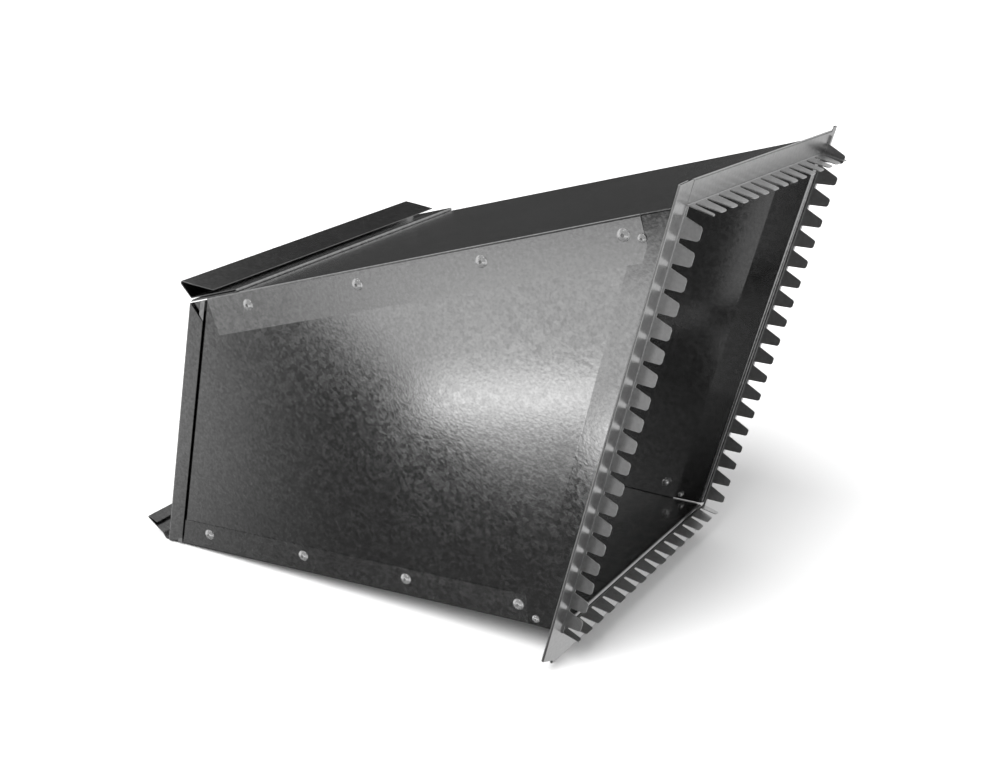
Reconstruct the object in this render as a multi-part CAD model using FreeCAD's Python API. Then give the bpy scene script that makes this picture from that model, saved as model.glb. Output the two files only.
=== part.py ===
import FreeCAD, Part
import math
import os

# Rectangular branch take-off for galvanised sheet-metal duct, in millimetres.
#
# The sheet parts are laid out in duct axes: +X points out of the base opening, into the main
# duct, the seating face of the toothed flange lies in the plane x = 0, +Z runs up the long
# side of the opening from its centre and +Y across the duct.  The body tapers back along -X
# to the branch end, whose plane is parallel to the flange.
#
# At the end everything is tipped about Y into the attitude in which the part stands on a
# bench: on the lower edge of the flange and on the bead of the bottom slip.  There +Z is up,
# z = 0 is the bench, and the origin is the centre of the part's footprint.
#
# Every sheet part is a bent strip: a line in the plane across its bends, given the sheet's
# thickness, stretched along its length and trimmed to its outline.

# ---------------------------------------------------------------- driving dimensions
SHEET = 0.7               # 24 gauge galvanised sheet
BASE_WIDTH = 254.0        # 10 in base opening, across Y
BASE_HEIGHT = 355.6       # 14 in base opening, along Z
BRANCH_WIDTH = 304.8      # 12 in branch end
BRANCH_HEIGHT = 247.0
BODY_DEPTH = 381.0        # 15 in from the flange to the branch end
SIDE_STRAIGHT = 28.0      # side panels run square to the flange here, then splay
SIDE_KINK_RADIUS = 6.0
BRANCH_DROP = 299.6       # branch end's lower edge, below the centre of the base opening

FLANGE_RIGHT = 19.0       # standing flange, from the base opening's edge to the outer fold
FLANGE_LEFT = 9.0
FLANGE_TOP = 17.0
FLANGE_BOTTOM = 32.0
LEFT_STRIP_TOP = 5.0      # the left strip ends this far above the opening
TOP_STRIP_TILT = 3.2      # degrees the top strip droops towards the left
FLARE_RADIUS = 4.0        # panel edge where it turns out into the flange
FLARE_LEG_GAP = 3.0       # from the end of that leg to the fold of the flange strip
FOLD_SLACK = 0.03         # keeps a flat between the two bends of a tight fold
STRIP_BACK_START = 5.6    # where the strip's back layer begins, from the opening's edge

STRIP_END_INSET = 3.0     # slanted lower ends of the side strips
STRIP_END_RISE = 11.0

TOOTH_PITCH = 18.1
TOOTH_ROOT_SHARE = 0.82   # of the pitch
RIGHT_TEETH = (14.5, 0.55)    # length, and the tip's share of the pitch
LEFT_TEETH = (16.5, 0.36)
TOP_TEETH = (18.5, 0.50)
BOTTOM_TEETH = (15.5, 0.55)
TOOTH_TIP_RADIUS = 2.4
TOOTH_BEND_RADIUS = 1.0
SIDE_TEETH = 19
CROSS_TEETH = 15          # the first and last are half teeth in the corners
TRIM_REACH = 20.0         # how far in front of the flange its bare ends are cleared

TOP_LAP = 31.75           # width of the top panel's laps over the side panels
BOTTOM_LAP = 25.4
LAP_BEND_RADIUS = 1.2
LAP_ROOT = 8.0            # the bend's leg that is one with the panel
LAP_SETBACK = 29.0        # laps stop this far behind the flange
BOTTOM_LAP_SNIP = 14.0    # how much further back the bottom laps' free corners are snipped

DRIVE_HEM = 15.0          # side panels' folded edge at the branch end
DRIVE_HEM_RADIUS = 1.1
DRIVE_HEM_SETBACK = 13.0  # snipped corners of the hem
DRIVE_HEM_SNIP_START = 2.0

CLEAT_SHEET = 0.8
CLEAT_RADIUS = 1.2
CLEAT_FOLD = 1.0          # middle radius of the S-slip's tight fold
CLEAT_GRIP = 44.0         # leg lying against the panel
CLEAT_CLEARANCE = 0.3     # between a leg inside the body and the side panels
TOP_CLEAT_REACH = 13.0    # how far the outer fold stands past the branch end
TOP_CLEAT_RISE = 12.0
TOP_CLEAT_FLAP = 34.0     # flap folded back over the panel
TOP_CLEAT_FLAP_RISE = 7.0
BEAD_REACH = 4.8          # bead that drops in front of the bottom panel's end
BEAD_WIDTH = 3.5
BOTTOM_CLEAT_REACH = 29.0
BOTTOM_CLEAT_RISE = 10.0
BOTTOM_CLEAT_HEM = 12.0   # flap's edge, folded back on itself
FOLD_INNER = 0.75

RIVET_COUNT = 4
RIVET_HEAD_RADIUS = 4.75
RIVET_HEAD_HEIGHT = 1.9
RIVET_SHANK_RADIUS = 2.4
RIVET_TAIL_RADIUS = 3.3
RIVET_TAIL_LENGTH = 4.5
MANDREL_RADIUS = 1.3
MANDREL_SINK = 0.9        # mandrel's broken end, below the top of the head
TOP_RIVET_FIRST, TOP_RIVET_LAST = 36.0, 324.0         # distances behind the flange
BOTTOM_RIVET_FIRST, BOTTOM_RIVET_LAST = 40.0, 337.0
TOP_RIVET_INSET = 11.5    # from the panel's bend to the rivet line
BOTTOM_RIVET_INSET = 16.0
STITCH_BACK = 23.0        # small stitch rivets beside the flange
TOP_STITCH_INSET = 16.0
BOTTOM_STITCH_INSET = 6.5
STITCH_HEAD_RADIUS = 3.2
STITCH_HEAD_HEIGHT = 1.2
STITCH_SHANK_RADIUS = 1.6
STITCH_TAIL_RADIUS = 2.2
STITCH_TAIL_LENGTH = 3.0
STITCH_MANDREL_RADIUS = 0.8
HOLE_CLEARANCE = 0.1
DOME_STEPS = 6
TAIL_END = 0.7            # radius of a set tail's end, as a share of its bulge
TAIL_BULGE = (0.6, 0.2)   # where along the tail the full bulge ends and begins
MANDREL_BALL = ((0.0, 0.5), (0.5, 0.4), (0.6, 0.0))   # radius and rise, in bulge radii

# ---------------------------------------------------------------- worked-out places
HALF = SHEET / 2
HALF_CLEAT = CLEAT_SHEET / 2
BASE_HALF_WIDTH = BASE_WIDTH / 2
BASE_TOP = BASE_HEIGHT / 2
BASE_BOTTOM = -BASE_TOP
BRANCH_HALF_WIDTH = BRANCH_WIDTH / 2
BRANCH_BOTTOM = -BRANCH_DROP
BRANCH_TOP = BRANCH_BOTTOM + BRANCH_HEIGHT
FRONT_LAYER = -HALF                    # middles of the three layers of the flange
PANEL_LEG = FRONT_LAYER - SHEET
BACK_LAYER = PANEL_LEG - SHEET
SIDE_SLOPE = (BRANCH_HALF_WIDTH - BASE_HALF_WIDTH) / (BODY_DEPTH - SIDE_STRAIGHT)
TOP_SLOPE = (BASE_TOP - BRANCH_TOP) / BODY_DEPTH
BOTTOM_SLOPE = (BASE_BOTTOM - BRANCH_BOTTOM) / BODY_DEPTH
LARGE = 1000.0                         # reach of trimming solids
LEVEL_STEPS = 6                        # rounds of levelling the two resting edges

Vector = FreeCAD.Vector


# ---------------------------------------------------------------- sheet-metal helpers
def bend_data(before, corner, after, radius):
    """Tangent points, centre and turn (+1 left, -1 right) of a bend in a 2-D line."""
    first = (corner - before).normalize()
    second = (after - corner).normalize()
    turn = 1 if first.x * second.y - first.y * second.x > 0 else -1
    angle = first.getAngle(second)
    reach = radius * math.tan(angle / 2)
    start = corner - first * reach
    end = corner + second * reach
    left = Vector(-first.y, first.x, 0)
    centre = start + left * (turn * radius)
    return start, end, centre, turn


def offset_side(points, radii, shift):
    """Lines and arcs running beside a 2-D line, shifted to its left, bends rounded."""
    edges = []
    last = None
    for index, point in enumerate(points):
        if index == 0 or index == len(points) - 1:
            before = points[max(index - 1, 0)]
            after = points[min(index + 1, len(points) - 1)]
            along = (after - before).normalize()
            here = point + Vector(-along.y, along.x, 0) * shift
            if last is not None:
                edges.append(Part.LineSegment(last, here))
            last = here
            continue
        radius = radii[index - 1]
        start, end, centre, turn = bend_data(points[index - 1], point, points[index + 1], radius)
        side_radius = radius - turn * shift
        first = centre + (start - centre).normalize() * side_radius
        middle = centre + (point - centre).normalize() * side_radius
        final = centre + (end - centre).normalize() * side_radius
        if (first - last).Length > 1e-6:
            edges.append(Part.LineSegment(last, first))
        edges.append(Part.Arc(first, middle, final))
        last = final
    return edges


def sheet_section(corners, radii, thickness=SHEET):
    """Closed face, in the XY plane, of a sheet whose middle follows the corners.

    radii holds one middle radius for every corner between the two ends.
    """
    points = [Vector(u, v, 0) for u, v in corners]
    left = [edge.toShape() for edge in offset_side(points, radii, thickness / 2)]
    right = [edge.toShape() for edge in offset_side(points, radii, -thickness / 2)]
    caps = [
        Part.makeLine(left[0].Vertexes[0].Point, right[0].Vertexes[0].Point),
        Part.makeLine(left[-1].Vertexes[-1].Point, right[-1].Vertexes[-1].Point),
    ]
    ordered = Part.__sortEdges__(left + right + caps)
    return Part.Face(Part.Wire(ordered))


def sheet_along_z(corners, radii, low, high, thickness=SHEET):
    """Sheet whose section lies in XY, running from low to high along Z."""
    face = sheet_section(corners, radii, thickness)
    face.translate(Vector(0, 0, low))
    return face.extrude(Vector(0, 0, high - low))


def sheet_along_y(corners, radii, low, high, thickness=SHEET):
    """Sheet whose section lies in XZ, running from low to high along Y."""
    face = sheet_section(corners, radii, thickness)
    face.rotate(Vector(0, 0, 0), Vector(1, 0, 0), 90)
    face.translate(Vector(0, low, 0))
    return face.extrude(Vector(0, high - low, 0))


def prism(points, depth):
    """Polygon through the points, stretched by the vector depth."""
    return Part.Face(Part.makePolygon(points + points[:1])).extrude(depth)


def side_outline(points):
    """Solid that reaches far along Y over a polygon given by x and z."""
    return prism([Vector(x, -LARGE, z) for x, z in points], Vector(0, 2 * LARGE, 0))


def plan_outline(points):
    """Solid that reaches far along Z over a polygon given by x and y."""
    return prism([Vector(x, y, -LARGE) for x, y in points], Vector(0, 0, 2 * LARGE))


def mirrored(shape):
    """The same part on the other side of the duct, across the plane y = 0."""
    return shape.mirror(Vector(0, 0, 0), Vector(0, 1, 0))


def half_width(x, extra=0.0):
    """Half the body's width over the side panels' outer faces, at x."""
    return BASE_HALF_WIDTH + SIDE_SLOPE * max(-x - SIDE_STRAIGHT, 0) + extra


def top_edge(x):
    return BASE_TOP + TOP_SLOPE * x


def bottom_edge(x):
    return BASE_BOTTOM + BOTTOM_SLOPE * x


# ---------------------------------------------------------------- side panels
def right_side_normal():
    """Outward normal of the side panel on -Y."""
    return Vector(SIDE_SLOPE, -1, 0).normalize()


def make_side_panel(flange):
    """Side panel on -Y: flared front leg, flat body and a drive hem at the branch end."""
    leg_end = -(BASE_HALF_WIDTH + flange - FLARE_LEG_GAP)
    fold_x = -BODY_DEPTH + HALF
    body_y = -half_width(fold_x, -HALF)
    hem_y = body_y - 2 * DRIVE_HEM_RADIUS
    hem_radius = DRIVE_HEM_RADIUS - FOLD_SLACK
    hem_end = fold_x + DRIVE_HEM
    panel = sheet_along_z(
        [
            (PANEL_LEG, leg_end),
            (PANEL_LEG, -half_width(PANEL_LEG, -HALF)),
            (-SIDE_STRAIGHT, -half_width(-SIDE_STRAIGHT, -HALF)),
            (fold_x, body_y),
            (fold_x, hem_y),
            (hem_end, hem_y + SIDE_SLOPE * DRIVE_HEM),
        ],
        [FLARE_RADIUS, SIDE_KINK_RADIUS, hem_radius, hem_radius],
        BRANCH_BOTTOM,
        BASE_TOP,
    )
    clear_of_bend = HALF + LAP_BEND_RADIUS
    top_step = clear_of_bend * math.hypot(1, TOP_SLOPE)
    bottom_step = clear_of_bend * math.hypot(1, BOTTOM_SLOPE)
    outline = side_outline([
        (0, BASE_BOTTOM + bottom_step),
        (0, BASE_TOP - top_step),
        (-BODY_DEPTH, BRANCH_TOP - top_step),
        (-BODY_DEPTH, BRANCH_BOTTOM + bottom_step),
    ])
    panel = panel.common(outline)
    # the hem's corners are snipped off at an angle, outside the panel's own layer
    snip_y = body_y - DRIVE_HEM_RADIUS
    snips = []
    for height, inward in ((BRANCH_TOP, -1), (BRANCH_BOTTOM, 1)):
        corners = [
            (-BODY_DEPTH + DRIVE_HEM_SNIP_START, height),
            (-BODY_DEPTH + DRIVE_HEM_SNIP_START, height + inward * SHEET * 2),
            (hem_end + 1, height + inward * DRIVE_HEM_SETBACK),
            (hem_end + 1, height - inward * DRIVE_HEM),
        ]
        snips.append(prism([Vector(x, snip_y, z) for x, z in corners], Vector(0, -DRIVE_HEM, 0)))
    return panel.cut(snips)


# ---------------------------------------------------------------- top and bottom panels
def make_lap(edge_height, slope, width, up, snip):
    """Strip bent over the corner between a cross panel and the side panel on -Y.

    up is 1 for the top panel, whose lap hangs down, and -1 for the bottom panel.  snip is how
    far back the free corner at the flange is cut away.
    """
    def corner(x):
        across = -half_width(x, HALF * math.hypot(1, SIDE_SLOPE))
        return Vector(x, across, edge_height(x) - up * HALF * math.hypot(1, slope))

    front = corner(-LAP_SETBACK)
    run = corner(-BODY_DEPTH + DRIVE_HEM + 1) - front
    along = Vector(run).normalize()
    inward = Vector(0, 1, 0)
    inward = (inward - along * along.dot(inward)).normalize()
    hang = Vector(0, 0, -up)
    hang = (hang - along * along.dot(hang)).normalize()
    square = along.cross(inward)
    face = sheet_section(
        [(LAP_ROOT, 0), (0, 0), (hang.dot(inward) * width, hang.dot(square) * width)],
        [LAP_BEND_RADIUS],
    )
    face.Placement = FreeCAD.Placement(
        front, FreeCAD.Rotation(inward, square, along, "ZXY"))
    lap = face.extrude(run)
    if snip == 0:
        return lap
    free = front + hang * (width + 1)
    outward = inward * -BRANCH_WIDTH
    return lap.cut(prism([front, free - along, free + along * snip], outward))


def make_cross_panel(section, edge_height, slope, lap_width, up, snip=0.0):
    """Top or bottom panel: a bent plate with a lap turned over each side panel."""
    corners = [
        (-BODY_DEPTH, half_width(-BODY_DEPTH)),
        (-BODY_DEPTH + DRIVE_HEM, half_width(-BODY_DEPTH + DRIVE_HEM)),
        (-BODY_DEPTH + DRIVE_HEM + 1, half_width(-BODY_DEPTH + DRIVE_HEM, -LAP_ROOT / 2)),
        (-LAP_SETBACK - 1, half_width(-LAP_SETBACK - 1, -LAP_ROOT / 2)),
        (-LAP_SETBACK, BASE_HALF_WIDTH),
        (0, BASE_HALF_WIDTH),
    ]
    plan = plan_outline(corners + [(x, -y) for x, y in reversed(corners)])
    plate = sheet_along_y(section, [FLARE_RADIUS], -BRANCH_WIDTH, BRANCH_WIDTH).common(plan)
    lap = make_lap(edge_height, slope, lap_width, up, snip)
    return plate.fuse([lap, mirrored(lap)]).removeSplitter()


def make_top_panel():
    plate_drop = HALF * math.hypot(1, TOP_SLOPE)
    section = [
        (-BODY_DEPTH, BRANCH_TOP - plate_drop),
        (PANEL_LEG, top_edge(PANEL_LEG) - plate_drop),
        (PANEL_LEG, BASE_TOP + FLANGE_TOP - FLARE_LEG_GAP),
    ]
    return make_cross_panel(section, top_edge, TOP_SLOPE, TOP_LAP, 1)


def make_bottom_panel():
    plate_rise = HALF * math.hypot(1, BOTTOM_SLOPE)
    section = [
        (-BODY_DEPTH, BRANCH_BOTTOM + plate_rise),
        (PANEL_LEG, bottom_edge(PANEL_LEG) + plate_rise),
        (PANEL_LEG, BASE_BOTTOM - FLANGE_BOTTOM + FLARE_LEG_GAP),
    ]
    return make_cross_panel(
        section, bottom_edge, BOTTOM_SLOPE, BOTTOM_LAP, -1, BOTTOM_LAP_SNIP)


# ---------------------------------------------------------------- toothed flange strips
def strip_corners(opening_edge, width):
    """Section of a flange strip: back layer, fold at the outer edge, front layer, tooth root."""
    outer = opening_edge + width
    tooth_plane = opening_edge - HALF
    return [
        (BACK_LAYER, opening_edge + STRIP_BACK_START),
        (BACK_LAYER, outer - HALF),
        (FRONT_LAYER, outer - HALF),
        (FRONT_LAYER, tooth_plane),
        (TOOTH_BEND_RADIUS + HALF, tooth_plane),
    ]


def folded_strip(opening_edge, width):
    """The strip's section as a face in XY, with a tight outer fold and a softer tooth bend."""
    radii = [SHEET - FOLD_SLACK, SHEET - FOLD_SLACK, TOOTH_BEND_RADIUS]
    return sheet_section(strip_corners(opening_edge, width), radii)


def tooth_outline(size, centre, low=-LARGE, high=LARGE):
    """Rounded trapezoid in XY: x out from the flange, y along it, clipped to low..high."""
    reach, tip_share = size
    root = TOOTH_ROOT_SHARE * TOOTH_PITCH / 2
    tip = tip_share * TOOTH_PITCH / 2
    start = TOOTH_BEND_RADIUS
    wire = Part.makePolygon([
        Vector(start, centre - root, 0),
        Vector(reach, centre - tip, 0),
        Vector(reach, centre + tip, 0),
        Vector(start, centre + root, 0),
        Vector(start, centre - root, 0),
    ])
    blade = Part.Face(wire).extrude(Vector(0, 0, SHEET))
    tips = [
        edge for edge in blade.Edges
        if all(abs(vertex.Point.x - reach) < 1e-6 for vertex in edge.Vertexes)
        and abs(edge.Vertexes[0].Point.z - edge.Vertexes[-1].Point.z) > HALF
    ]
    blade = blade.makeFillet(TOOTH_TIP_RADIUS, tips)
    window = Part.makeBox(LARGE, high - low, LARGE, Vector(-LARGE / 2, low, -LARGE / 2))
    return blade.common(window)


def tooth_centres(count):
    middle = (count - 1) / 2
    return [(index - middle) * TOOTH_PITCH for index in range(count)]


def make_side_flange_strip(width, high, tooth_size):
    """Full-length strip on +Y up to a height; its ends close the corners."""
    low = BASE_BOTTOM - FLANGE_BOTTOM
    face = folded_strip(BASE_HALF_WIDTH, width)
    face.translate(Vector(0, 0, low))
    strip = face.extrude(Vector(0, 0, high - low))
    # the lower end is cut on a slant, rising towards the outer edge
    reach = width + SHEET
    strip = strip.cut(prism(
        [
            Vector(-LARGE / 2, BASE_HALF_WIDTH - SHEET, low + STRIP_END_INSET),
            Vector(-LARGE / 2, BASE_HALF_WIDTH + reach, low + STRIP_END_INSET + STRIP_END_RISE),
            Vector(-LARGE / 2, BASE_HALF_WIDTH + reach, low - 1),
            Vector(-LARGE / 2, BASE_HALF_WIDTH - SHEET, low - 1),
        ],
        Vector(LARGE, 0, 0),
    ))
    # beyond the opening there are no teeth: the strip is flat there and stops at its edge
    for start, end in ((low, BASE_BOTTOM + SHEET), (BASE_TOP - SHEET, high)):
        length = end - start
        root = Part.makeBox(TRIM_REACH, 3 * SHEET, length, Vector(0, BASE_HALF_WIDTH, start))
        inner = Part.makeBox(
            TRIM_REACH, 3 * SHEET, length,
            Vector(-TRIM_REACH / 2, BASE_HALF_WIDTH - 3 * SHEET, start))
        strip = strip.cut([root, inner])
    teeth = []
    for centre in tooth_centres(SIDE_TEETH):
        tooth = tooth_outline(tooth_size, centre)
        tooth.rotate(Vector(0, 0, 0), Vector(1, 0, 0), 90)
        tooth.translate(Vector(0, BASE_HALF_WIDTH, 0))
        teeth.append(tooth)
    return strip.fuse(teeth).removeSplitter()


def make_cross_flange_strip(width, up, tooth_size):
    """Strip above (up = 1) or below (up = -1) the opening, between the side strips."""
    face = folded_strip(BASE_TOP, width)
    face.rotate(Vector(0, 0, 0), Vector(1, 0, 0), 90)
    face.translate(Vector(0, -BASE_HALF_WIDTH, 0))
    strip = face.extrude(Vector(0, BASE_WIDTH, 0))
    teeth = []
    for centre in tooth_centres(CROSS_TEETH):
        tooth = tooth_outline(
            tooth_size, centre, -BASE_HALF_WIDTH + SHEET, BASE_HALF_WIDTH - SHEET)
        tooth.translate(Vector(0, 0, BASE_TOP - SHEET))
        teeth.append(tooth)
    strip = strip.fuse(teeth).removeSplitter()
    return strip if up > 0 else strip.mirror(Vector(0, 0, 0), Vector(0, 0, 1))


# ---------------------------------------------------------------- slip cleats
def above_top_panel(x, clearance):
    """Middle of a cleat's layer over the top panel, with a clearance below it."""
    return (x, top_edge(x) + (HALF_CLEAT + clearance) * math.hypot(1, TOP_SLOPE))


def make_top_cleat():
    """S-slip on the top panel: a layer on it, one folded back over that, and a raised flap."""
    fold_x = -BODY_DEPTH - TOP_CLEAT_REACH
    fold_z = BRANCH_TOP + TOP_CLEAT_RISE
    nose_x = -BODY_DEPTH + CLEAT_GRIP
    pocket = 2 * CLEAT_FOLD
    corners = [
        above_top_panel(-BODY_DEPTH + CLEAT_SHEET, 0),
        above_top_panel(nose_x, 0),
        above_top_panel(nose_x - pocket * math.sin(math.atan(TOP_SLOPE)), pocket),
        above_top_panel(-BODY_DEPTH, pocket),
        (fold_x, fold_z - CLEAT_RADIUS),
        (fold_x + CLEAT_RADIUS, fold_z + CLEAT_RADIUS),
        (fold_x + TOP_CLEAT_FLAP, fold_z + TOP_CLEAT_FLAP_RISE),
    ]
    tight = CLEAT_FOLD - FOLD_SLACK
    radii = [tight, tight, CLEAT_RADIUS, CLEAT_RADIUS, CLEAT_RADIUS]
    cleat = sheet_along_y(
        corners, radii, -BRANCH_HALF_WIDTH, BRANCH_HALF_WIDTH, CLEAT_SHEET)
    return cleat.common(cleat_plan(0))


def make_bottom_cleat():
    """Slip on the bottom panel: a leg inside, a bead past the panel's end, an open flap."""
    bead_x = -BODY_DEPTH - BEAD_REACH
    tip_x = -BODY_DEPTH - BOTTOM_CLEAT_REACH
    tip_z = BRANCH_BOTTOM + BOTTOM_CLEAT_RISE
    leg_rise = (SHEET + HALF_CLEAT) * math.hypot(1, BOTTOM_SLOPE)
    leg = [
        (x, bottom_edge(x) + leg_rise)
        for x in (-BODY_DEPTH + CLEAT_GRIP, -BODY_DEPTH - 3 * CLEAT_SHEET)
    ]
    corners = leg + [
        (bead_x, BRANCH_BOTTOM),
        (bead_x - BEAD_WIDTH, BRANCH_BOTTOM + BEAD_WIDTH),
        (tip_x + CLEAT_SHEET, tip_z),
        (tip_x + CLEAT_SHEET, tip_z + 2 * CLEAT_SHEET),
        (tip_x + BOTTOM_CLEAT_HEM, tip_z + CLEAT_SHEET),
    ]
    radii = [CLEAT_SHEET, CLEAT_RADIUS, CLEAT_RADIUS, FOLD_INNER, FOLD_INNER]
    cleat = sheet_along_y(corners, radii, -BRANCH_HALF_WIDTH, BRANCH_HALF_WIDTH, CLEAT_SHEET)
    return cleat.common(cleat_plan(SHEET + CLEAT_CLEARANCE))


def cleat_plan(inset):
    """Plan of a cleat: full width beyond the branch end, inset from the sides before it."""
    end = -BODY_DEPTH
    grip = end + CLEAT_GRIP + 1
    beyond = end - BRANCH_WIDTH
    half = [(beyond, BRANCH_HALF_WIDTH), (end, BRANCH_HALF_WIDTH),
            (end, half_width(end, -inset)), (grip, half_width(grip, -inset))]
    return plan_outline(half + [(x, -y) for x, y in reversed(half)])


# ---------------------------------------------------------------- blind rivets
def turned(profile, base, direction):
    """Solid of revolution: profile of (radius, height) points, set along a direction."""
    wire = Part.makePolygon([Vector(r, 0, h) for r, h in profile + profile[:1]])
    shape = Part.Face(wire).revolve(Vector(0, 0, 0), Vector(0, 0, 1), 360)
    shape.Placement = FreeCAD.Placement(base, FreeCAD.Rotation(Vector(0, 0, 1), direction))
    return shape


def rivet_shell(place, direction, head, height, shank, tail, tail_length, bore):
    """Domed head outside, shank through two sheets, bulbed tail inside."""
    dome = []
    for index in range(DOME_STEPS + 1):
        angle = index * math.pi / 2 / DOME_STEPS
        radius = max(head * math.cos(angle), bore)
        dome.append((radius, height * math.sin(angle)))
        if radius == bore:
            break
    grip = -2 * SHEET
    bulge = [(tail, grip - tail_length * share) for share in TAIL_BULGE]
    end = [(bore, grip - tail_length), (tail * TAIL_END, grip - tail_length)]
    return turned(end + bulge + [(shank, grip), (shank, 0)] + dome, place, direction)


def rivet_mandrel(place, direction, height, tail, tail_length, bore):
    """Broken-off mandrel: a stem in the bore and its ball head under the tail."""
    low = -2 * SHEET - tail_length
    top = height - MANDREL_SINK * height / RIVET_HEAD_HEIGHT
    ball = [(tail * out, low - tail * rise) for out, rise in MANDREL_BALL]
    return turned(ball + [(bore, low), (bore, top), (0, top)], place, direction)


def spread(first, last, count):
    return [first + (last - first) * index / (count - 1) for index in range(count)]


def lap_place(back, edge_height, slope, inset):
    """Place on the outer face of a lap, on -Y: back from the flange, inset from the bend."""
    height = edge_height(-back) + inset * math.hypot(1, slope)
    on_side = Vector(-back, -half_width(-back), height)
    return on_side + right_side_normal() * SHEET


def hole_tools(places, radius):
    """Drills through lap and side panel at each place, on both sides of the duct."""
    normal = right_side_normal()
    tools = []
    for place in places:
        drill = Part.makeCylinder(radius, 6 * SHEET, place + normal * SHEET, normal * -1)
        tools += [drill, mirrored(drill)]
    return tools


# ---------------------------------------------------------------- assembly
def largest(shape):
    """The biggest solid of a trimmed part, without the crumbs that trimming leaves."""
    return max(shape.Solids, key=lambda solid: solid.Volume)


def make_nodes():
    top_places = [
        lap_place(back, top_edge, TOP_SLOPE, -TOP_RIVET_INSET)
        for back in spread(TOP_RIVET_FIRST, TOP_RIVET_LAST, RIVET_COUNT)
    ]
    bottom_places = [
        lap_place(back, bottom_edge, BOTTOM_SLOPE, BOTTOM_RIVET_INSET)
        for back in spread(BOTTOM_RIVET_FIRST, BOTTOM_RIVET_LAST, RIVET_COUNT)
    ]
    stitch_places = [
        lap_place(STITCH_BACK, top_edge, TOP_SLOPE, -TOP_STITCH_INSET),
        lap_place(STITCH_BACK, bottom_edge, BOTTOM_SLOPE, BOTTOM_STITCH_INSET),
    ]
    drills = hole_tools(top_places + bottom_places, RIVET_SHANK_RADIUS + HOLE_CLEARANCE)
    drills += hole_tools(stitch_places, STITCH_SHANK_RADIUS + HOLE_CLEARANCE)

    nodes = {}
    nodes["side_panel_right"] = make_side_panel(FLANGE_RIGHT).cut(drills)
    nodes["side_panel_left"] = mirrored(make_side_panel(FLANGE_LEFT)).cut(drills)
    nodes["bottom_panel"] = make_bottom_panel().cut(drills)
    right_strip = mirrored(
        make_side_flange_strip(FLANGE_RIGHT, BASE_TOP + FLANGE_TOP, RIGHT_TEETH))
    left_strip = make_side_flange_strip(FLANGE_LEFT, BASE_TOP + LEFT_STRIP_TOP, LEFT_TEETH)
    nodes["flange_strip_right"] = right_strip
    nodes["flange_strip_left"] = left_strip
    nodes["flange_strip_bottom"] = make_cross_flange_strip(FLANGE_BOTTOM, -1, BOTTOM_TEETH)
    # the top strip sits askew, so it and the top panel's flange are trimmed to each other
    top_strip = make_cross_flange_strip(FLANGE_TOP, 1, TOP_TEETH)
    above_leg = Part.makeBox(
        LARGE, LARGE, LARGE,
        Vector(-SIDE_STRAIGHT, -LARGE / 2, BASE_TOP + FLANGE_TOP - FLARE_LEG_GAP))
    pivot = Vector(0, -BASE_HALF_WIDTH, BASE_TOP - 2 * SHEET)
    for shape in (top_strip, above_leg):
        shape.rotate(pivot, Vector(1, 0, 0), -TOP_STRIP_TILT)
    side_parts = [right_strip, left_strip, nodes["side_panel_left"], nodes["side_panel_right"]]
    nodes["flange_strip_top"] = largest(top_strip.cut(side_parts))
    trims = drills + [nodes["flange_strip_top"], above_leg]
    nodes["top_panel"] = largest(make_top_panel().cut(trims))
    nodes["slip_cleat_top"] = make_top_cleat()
    nodes["slip_cleat_bottom"] = make_bottom_cleat()

    normal = right_side_normal()
    large = (RIVET_HEAD_RADIUS, RIVET_HEAD_HEIGHT, RIVET_SHANK_RADIUS,
             RIVET_TAIL_RADIUS, RIVET_TAIL_LENGTH, MANDREL_RADIUS)
    small = (STITCH_HEAD_RADIUS, STITCH_HEAD_HEIGHT, STITCH_SHANK_RADIUS,
             STITCH_TAIL_RADIUS, STITCH_TAIL_LENGTH, STITCH_MANDREL_RADIUS)
    rows = (("top_rivet", top_places, large), ("bottom_rivet", bottom_places, large),
            ("stitch_rivet", stitch_places, small))
    for name, places, size in rows:
        head, height, shank, tail, tail_length, bore = size
        shells = [rivet_shell(p, normal, head, height, shank, tail, tail_length, bore)
                  for p in places]
        stems = [rivet_mandrel(p, normal, height, tail, tail_length, bore) for p in places]
        for kind, solids in (("shells", shells), ("mandrels", stems)):
            group = Part.makeCompound(solids)
            nodes[f"{name}_{kind}_right"] = group
            nodes[f"{name}_{kind}_left"] = mirrored(group)
    return nodes


# ---------------------------------------------------------------- resting attitude
def bounds(shapes):
    return Part.makeCompound(shapes).optimalBoundingBox(False)


def tipped(shape, angle):
    copy = shape.copy()
    copy.rotate(Vector(0, 0, 0), Vector(0, 1, 0), angle)
    return copy


def rest_angle(nodes):
    """Degrees about Y that set the flange's lower edge and the bottom slip's bead level."""
    front = nodes["flange_strip_bottom"]
    back = [nodes["slip_cleat_bottom"], nodes["bottom_panel"].common(
        Part.makeBox(DRIVE_HEM, LARGE, LARGE, Vector(-BODY_DEPTH, -LARGE / 2, -LARGE / 2)))]
    angle = 0.0
    for _ in range(LEVEL_STEPS):
        front_low = bounds([tipped(front, angle)]).ZMin
        back_low = bounds([tipped(shape, angle) for shape in back]).ZMin
        angle += math.degrees(math.atan2(front_low - back_low, BODY_DEPTH))
    return angle


def set_down(nodes):
    """All nodes tipped to the resting attitude, on z = 0 and centred on the origin."""
    angle = rest_angle(nodes)
    resting = {name: tipped(shape, angle) for name, shape in nodes.items()}
    box = bounds(list(resting.values()))
    shift = Vector(-box.Center.x, 0, -box.ZMin)
    for shape in resting.values():
        shape.translate(shift)
    print(f"rest angle {angle:.4f} degrees, shift {shift.x:.3f}, {shift.z:.3f}")
    print(f"overall {box.XLength:.1f} x {box.YLength:.1f} x {box.ZLength:.1f} mm")
    return resting


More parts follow.
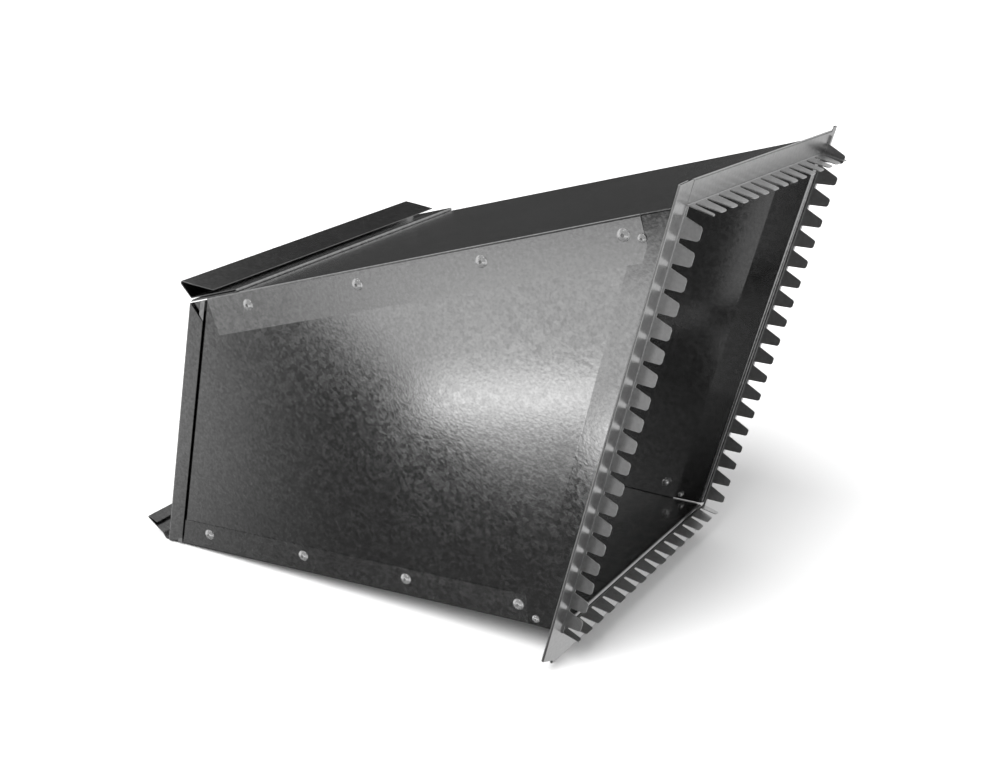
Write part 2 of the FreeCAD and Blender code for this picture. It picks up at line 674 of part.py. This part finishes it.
def main():
    os.makedirs("parts", exist_ok=True)
    for name, shape in set_down(make_nodes()).items():
        if not shape.isValid() or not shape.Solids:
            print("NOT VALID:", name)
        print(f"{name}: {len(shape.Solids)} solid(s), {shape.Volume / 1000:.2f} cm3")
        shape.exportStep(f"parts/{name}.step")


main()
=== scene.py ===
import math

import bpy
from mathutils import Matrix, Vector

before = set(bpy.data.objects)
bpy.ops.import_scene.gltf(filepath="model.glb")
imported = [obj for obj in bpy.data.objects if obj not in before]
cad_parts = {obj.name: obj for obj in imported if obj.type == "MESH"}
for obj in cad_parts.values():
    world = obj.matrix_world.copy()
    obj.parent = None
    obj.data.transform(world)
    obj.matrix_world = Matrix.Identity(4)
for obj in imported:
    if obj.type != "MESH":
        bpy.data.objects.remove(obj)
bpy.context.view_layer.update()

# The duct take-off stands on the floor: +X towards its toothed opening, +Y across the duct.

# ---------------------------------------------------------------- camera
CAMERA_PLACE = Vector((0.5913, -0.878, 0.5925))
CAMERA_HEADING = 123.80          # degrees from +X, in plan
CAMERA_DIP = 24.15               # degrees below level
LENS_MM = 47.83
SHIFT_X = 0.0188
SHIFT_Y = 0.0454


def make_camera():
    data = bpy.data.cameras.new("camera")
    data.lens = LENS_MM
    data.sensor_width = 36.0
    data.shift_x = SHIFT_X
    data.shift_y = SHIFT_Y
    data.clip_start = 0.01
    camera = bpy.data.objects.new("camera", data)
    camera.location = CAMERA_PLACE
    camera.rotation_euler = (
        math.radians(90 - CAMERA_DIP), 0, math.radians(CAMERA_HEADING - 90))
    bpy.context.collection.objects.link(camera)
    bpy.context.scene.camera = camera


# ---------------------------------------------------------------- node helpers
class Graph:
    """Short names for building a node tree."""

    def __init__(self, tree):
        self.tree = tree

    def add(self, kind, **settings):
        node = self.tree.nodes.new(kind)
        for name, value in settings.items():
            setattr(node, name, value)
        return node

    def join(self, source, target):
        self.tree.links.new(source, target)

    def feed(self, socket, value):
        """Link a socket's value, or set a plain number."""
        if isinstance(value, bpy.types.NodeSocket):
            self.join(value, socket)
        else:
            socket.default_value = value

    def math(self, operation, first, second=0.0, third=0.0, clamp=False):
        node = self.add("ShaderNodeMath", operation=operation, use_clamp=clamp)
        for socket, value in zip(node.inputs, (first, second, third)):
            self.feed(socket, value)
        return node.outputs[0]

    def remap(self, value, low, high, to_low, to_high, blend="LINEAR"):
        """value's low..high stretched to to_low..to_high, and held there beyond."""
        node = self.add("ShaderNodeMapRange", interpolation_type=blend)
        for socket, number in zip(node.inputs, (value, low, high, to_low, to_high)):
            self.feed(socket, number)
        return node.outputs[0]

    def noise(self, place, scale, detail=2.0, roughness=0.5):
        node = self.add("ShaderNodeTexNoise")
        self.join(place, node.inputs["Vector"])
        node.inputs["Scale"].default_value = scale
        node.inputs["Detail"].default_value = detail
        node.inputs["Roughness"].default_value = roughness
        return node.outputs["Fac"]

    def grey(self, value):
        """A colour with the value in all three channels."""
        node = self.add("ShaderNodeCombineColor")
        for socket in node.inputs[:3]:
            self.join(value, socket)
        return node.outputs[0]


# ---------------------------------------------------------------- studio
# The room that the metal mirrors is dark, with soft light cards in it.  Each card is a
# (from, to, softness) in azimuth, the same in elevation, a lean in degrees of azimuth for
# each degree down, and a brightness.  Angles are in degrees: azimuth 0 is +X and 90 is +Y,
# and elevation is above level.
ROOM_GLOW = 0.045
CARDS = (
    ((-122, -40, 3), (-27.5, -16.5, 5), 1.0, 0.52),      # large card low in front
    ((-119, -109, 2), (-25.4, -23.9, 1.5), 0.0, 1.0),    # lamp seen past its left end
    ((40, 112, 14), (-50, -12, 10), 0.0, 0.50),          # paper beyond the opening
    ((28, 116, 12), (6, 52, 10), 0.0, 0.50),             # card above that paper
    ((-38, 38, 14), (-42, 22, 14), 0.0, 0.55),           # card facing the opening
    ((140, 200, 20), (20, 48, 10), 0.0, 0.50),           # card high beyond the branch end
    ((165, 230, 15), (-30, 20, 15), 0.0, 0.40),          # card facing the branch end
    ((-200, 200, 1), (62, 110, 14), 0.0, 0.40),          # ceiling
)
BACKDROP_STRENGTH = 1.0          # what the camera sees past the floor
FILL_STRENGTH = 0.66             # even light on what isn't a mirror
SUN_STRENGTH = 3.4
SUN_FROM = Vector((0.0, -1.0, 1.30))
SUN_SPREAD = 36.0                # degrees, for a soft shadow


def soft_window(graph, value, low, high, softness):
    """1 between low and high, falling to 0 over the softness on each side."""
    rise = graph.remap(value, low - softness / 2, low + softness / 2, 0, 1, "SMOOTHSTEP")
    fall = graph.remap(value, high - softness / 2, high + softness / 2, 1, 0, "SMOOTHSTEP")
    return graph.math("MULTIPLY", rise, fall)


def background(graph, strength):
    node = graph.add("ShaderNodeBackground")
    node.inputs["Color"].default_value = (1, 1, 1, 1)
    node.inputs["Strength"].default_value = strength
    return node


def mirrored_room(graph, azimuth, elevation):
    """Brightness of the room in a direction: a faint glow and the cards."""
    glow = ROOM_GLOW
    for sides, heights, lean, brightness in CARDS:
        middle = (sides[0] + sides[1]) / 2
        half = (sides[1] - sides[0]) / 2
        drop = graph.math("SUBTRACT", elevation, (heights[0] + heights[1]) / 2)
        turn = graph.math("SUBTRACT", azimuth, middle)
        turn = graph.math("MULTIPLY_ADD", drop, lean, turn)
        turn = graph.math("WRAP", turn, 180.0, -180.0)
        across = soft_window(graph, turn, -half, half, sides[2])
        up = soft_window(graph, elevation, *heights)
        card = graph.math("MULTIPLY", across, up)
        glow = graph.math("MULTIPLY_ADD", card, brightness, glow)
    return glow


def make_world():
    """Glossy rays see the room, other light is an even fill and the camera sees white."""
    world = bpy.data.worlds.new("studio")
    bpy.context.scene.world = world
    world.use_nodes = True
    world.node_tree.nodes.clear()
    graph = Graph(world.node_tree)
    axes = graph.add("ShaderNodeSeparateXYZ")
    graph.join(graph.add("ShaderNodeTexCoord").outputs["Generated"], axes.inputs[0])
    x, y, z = axes.outputs
    degrees = 180 / math.pi
    azimuth = graph.math("MULTIPLY", graph.math("ARCTAN2", y, x), degrees)
    elevation = graph.math("MULTIPLY", graph.math("ARCSINE", z), degrees)
    mirrored = graph.add("ShaderNodeBackground")
    graph.join(graph.grey(mirrored_room(graph, azimuth, elevation)), mirrored.inputs["Color"])
    rays = graph.add("ShaderNodeLightPath")
    lighting = graph.add("ShaderNodeMixShader")
    graph.join(rays.outputs["Is Glossy Ray"], lighting.inputs[0])
    graph.join(background(graph, FILL_STRENGTH).outputs[0], lighting.inputs[1])
    graph.join(mirrored.outputs[0], lighting.inputs[2])
    shown = graph.add("ShaderNodeMixShader")
    graph.join(rays.outputs["Is Camera Ray"], shown.inputs[0])
    graph.join(lighting.outputs[0], shown.inputs[1])
    graph.join(background(graph, BACKDROP_STRENGTH).outputs[0], shown.inputs[2])
    output = graph.add("ShaderNodeOutputWorld")
    graph.join(shown.outputs[0], output.inputs["Surface"])


def make_sun():
    data = bpy.data.lights.new("sun", "SUN")
    data.energy = SUN_STRENGTH
    data.angle = math.radians(SUN_SPREAD)
    sun = bpy.data.objects.new("sun", data)
    sun.rotation_euler = (-SUN_FROM).to_track_quat("-Z", "Y").to_euler()
    sun.visible_glossy = False
    bpy.context.collection.objects.link(sun)


FLOOR_HALF = 6.0                 # metres
FLOOR_CLOUDS_PER_METRE = 3.0
FLOOR_TONES = (0.93, 0.95)


def make_floor():
    """White paper that the mirror-like metal doesn't pick up."""
    mesh = bpy.data.meshes.new("floor")
    quarters = ((-1, -1), (1, -1), (1, 1), (-1, 1))
    corners = [(x * FLOOR_HALF, y * FLOOR_HALF, 0) for x, y in quarters]
    mesh.from_pydata(corners, [], [(0, 1, 2, 3)])
    floor = bpy.data.objects.new("floor", mesh)
    bpy.context.collection.objects.link(floor)
    material = bpy.data.materials.new("floor_paper")
    material.use_nodes = True
    graph = Graph(material.node_tree)
    shader = material.node_tree.nodes["Principled BSDF"]
    shader.inputs["Roughness"].default_value = 1.0
    shader.inputs["Specular IOR Level"].default_value = 0.0
    place = graph.add("ShaderNodeTexCoord").outputs["Object"]
    clouds = graph.noise(place, FLOOR_CLOUDS_PER_METRE)
    tone = graph.remap(clouds, 0.3, 0.7, *FLOOR_TONES)
    graph.join(graph.grey(tone), shader.inputs["Base Color"])
    mesh.materials.append(material)
    floor.visible_glossy = False


# ---------------------------------------------------------------- metals
SPANGLES_PER_METRE = 300.0
MOTTLE_PER_METRE = 150.0
GRAIN_PER_METRE = 420.0
SMUDGES_PER_METRE = 9.0
# how far each pattern moves the sheet's tone, its roughness and its relief
SPANGLE_TONE = 0.10
GRAIN_TONE = 0.35
MOTTLE_TONE = 0.08
SMUDGE_TONE = 0.10
PATTERN_DULL = 0.05
SPANGLE_RELIEF = 0.10            # as a share of the grain's
RELIEF_METRES = 0.00004
RELIEF_STRENGTH = 0.5

# part of the node's name, material, tone, roughness, spangle, grain, metallic; the first
# row that fits a node's name is its metal
METALS = (
    ("side_panel", "galvanised_side", 0.62, 0.10, 1.0, 1.0, 1.0),
    ("top_panel", "galvanised_top", 0.74, 0.20, 0.8, 0.8, 1.0),
    ("bottom_panel", "galvanised_bottom", 0.58, 0.17, 0.8, 0.8, 1.0),
    ("flange_strip", "galvanised_flange", 0.74, 0.30, 0.5, 0.6, 1.0),
    ("slip_cleat", "galvanised_cleat", 0.50, 0.22, 0.7, 0.8, 1.0),
    ("mandrel", "mandrel_steel", 0.45, 0.30, 0.2, 0.6, 0.9),
    ("rivet", "rivet_aluminium", 0.82, 0.20, 0.2, 0.5, 0.8),
)


def centred(graph, value):
    """A 0..1 pattern moved to lie about 0."""
    return graph.math("SUBTRACT", value, 0.5)


def galvanised(name, tone, roughness, spangle, grain, metallic):
    """Zinc-coated sheet: crystals, mottling, a fine orange-peel grain and handling smudges.

    tone is the metal's grey, spangle and grain how strongly crystals and grain show, and
    a metallic below 1 stands for the chalky skin of a small drawn part.
    """
    material = bpy.data.materials.new(name)
    material.use_nodes = True
    graph = Graph(material.node_tree)
    shader = material.node_tree.nodes["Principled BSDF"]
    shader.inputs["Metallic"].default_value = metallic
    place = graph.add("ShaderNodeTexCoord").outputs["Object"]

    crystals = graph.add("ShaderNodeTexVoronoi", feature="F1")
    crystals.inputs["Scale"].default_value = SPANGLES_PER_METRE
    graph.join(place, crystals.inputs["Vector"])
    facets = graph.add("ShaderNodeSeparateColor")
    graph.join(crystals.outputs["Color"], facets.inputs[0])
    facet = centred(graph, facets.outputs[0])
    peel = centred(graph, graph.noise(place, GRAIN_PER_METRE, 2.0, 0.5))
    mottle = centred(graph, graph.noise(place, MOTTLE_PER_METRE, 3.0, 0.6))
    smudge = centred(graph, graph.noise(place, SMUDGES_PER_METRE, 3.0, 0.5))

    shade = graph.math("MULTIPLY_ADD", facet, SPANGLE_TONE * spangle, tone)
    shade = graph.math("MULTIPLY_ADD", peel, GRAIN_TONE * grain, shade)
    shade = graph.math("MULTIPLY_ADD", mottle, MOTTLE_TONE * spangle, shade)
    shade = graph.math("MULTIPLY_ADD", smudge, SMUDGE_TONE, shade, clamp=True)
    graph.join(graph.grey(shade), shader.inputs["Base Color"])

    dull = graph.math("MULTIPLY_ADD", facet, PATTERN_DULL * spangle, roughness)
    dull = graph.math("MULTIPLY_ADD", mottle, PATTERN_DULL * spangle, dull)
    dull = graph.math("MULTIPLY_ADD", smudge, PATTERN_DULL, dull, clamp=True)
    graph.join(dull, shader.inputs["Roughness"])

    orange_peel = graph.math("MULTIPLY", peel, grain)
    height = graph.math("MULTIPLY_ADD", facet, SPANGLE_RELIEF * spangle, orange_peel)
    bump = graph.add("ShaderNodeBump")
    bump.inputs["Strength"].default_value = RELIEF_STRENGTH
    bump.inputs["Distance"].default_value = RELIEF_METRES
    graph.join(height, bump.inputs["Height"])
    graph.join(bump.outputs[0], shader.inputs["Normal"])
    return material


def paint_nodes():
    """Each CAD node gets the metal of its kind, worked out from its name."""
    metals = {kind: galvanised(*settings) for kind, *settings in METALS}
    for node_name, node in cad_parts.items():
        kind = next(kind for kind in metals if kind in node_name)
        node.data.materials.clear()
        node.data.materials.append(metals[kind])


# ---------------------------------------------------------------- everything
make_camera()
make_world()
make_sun()
make_floor()
paint_nodes()

bpy.context.scene.view_settings.view_transform = "Standard"
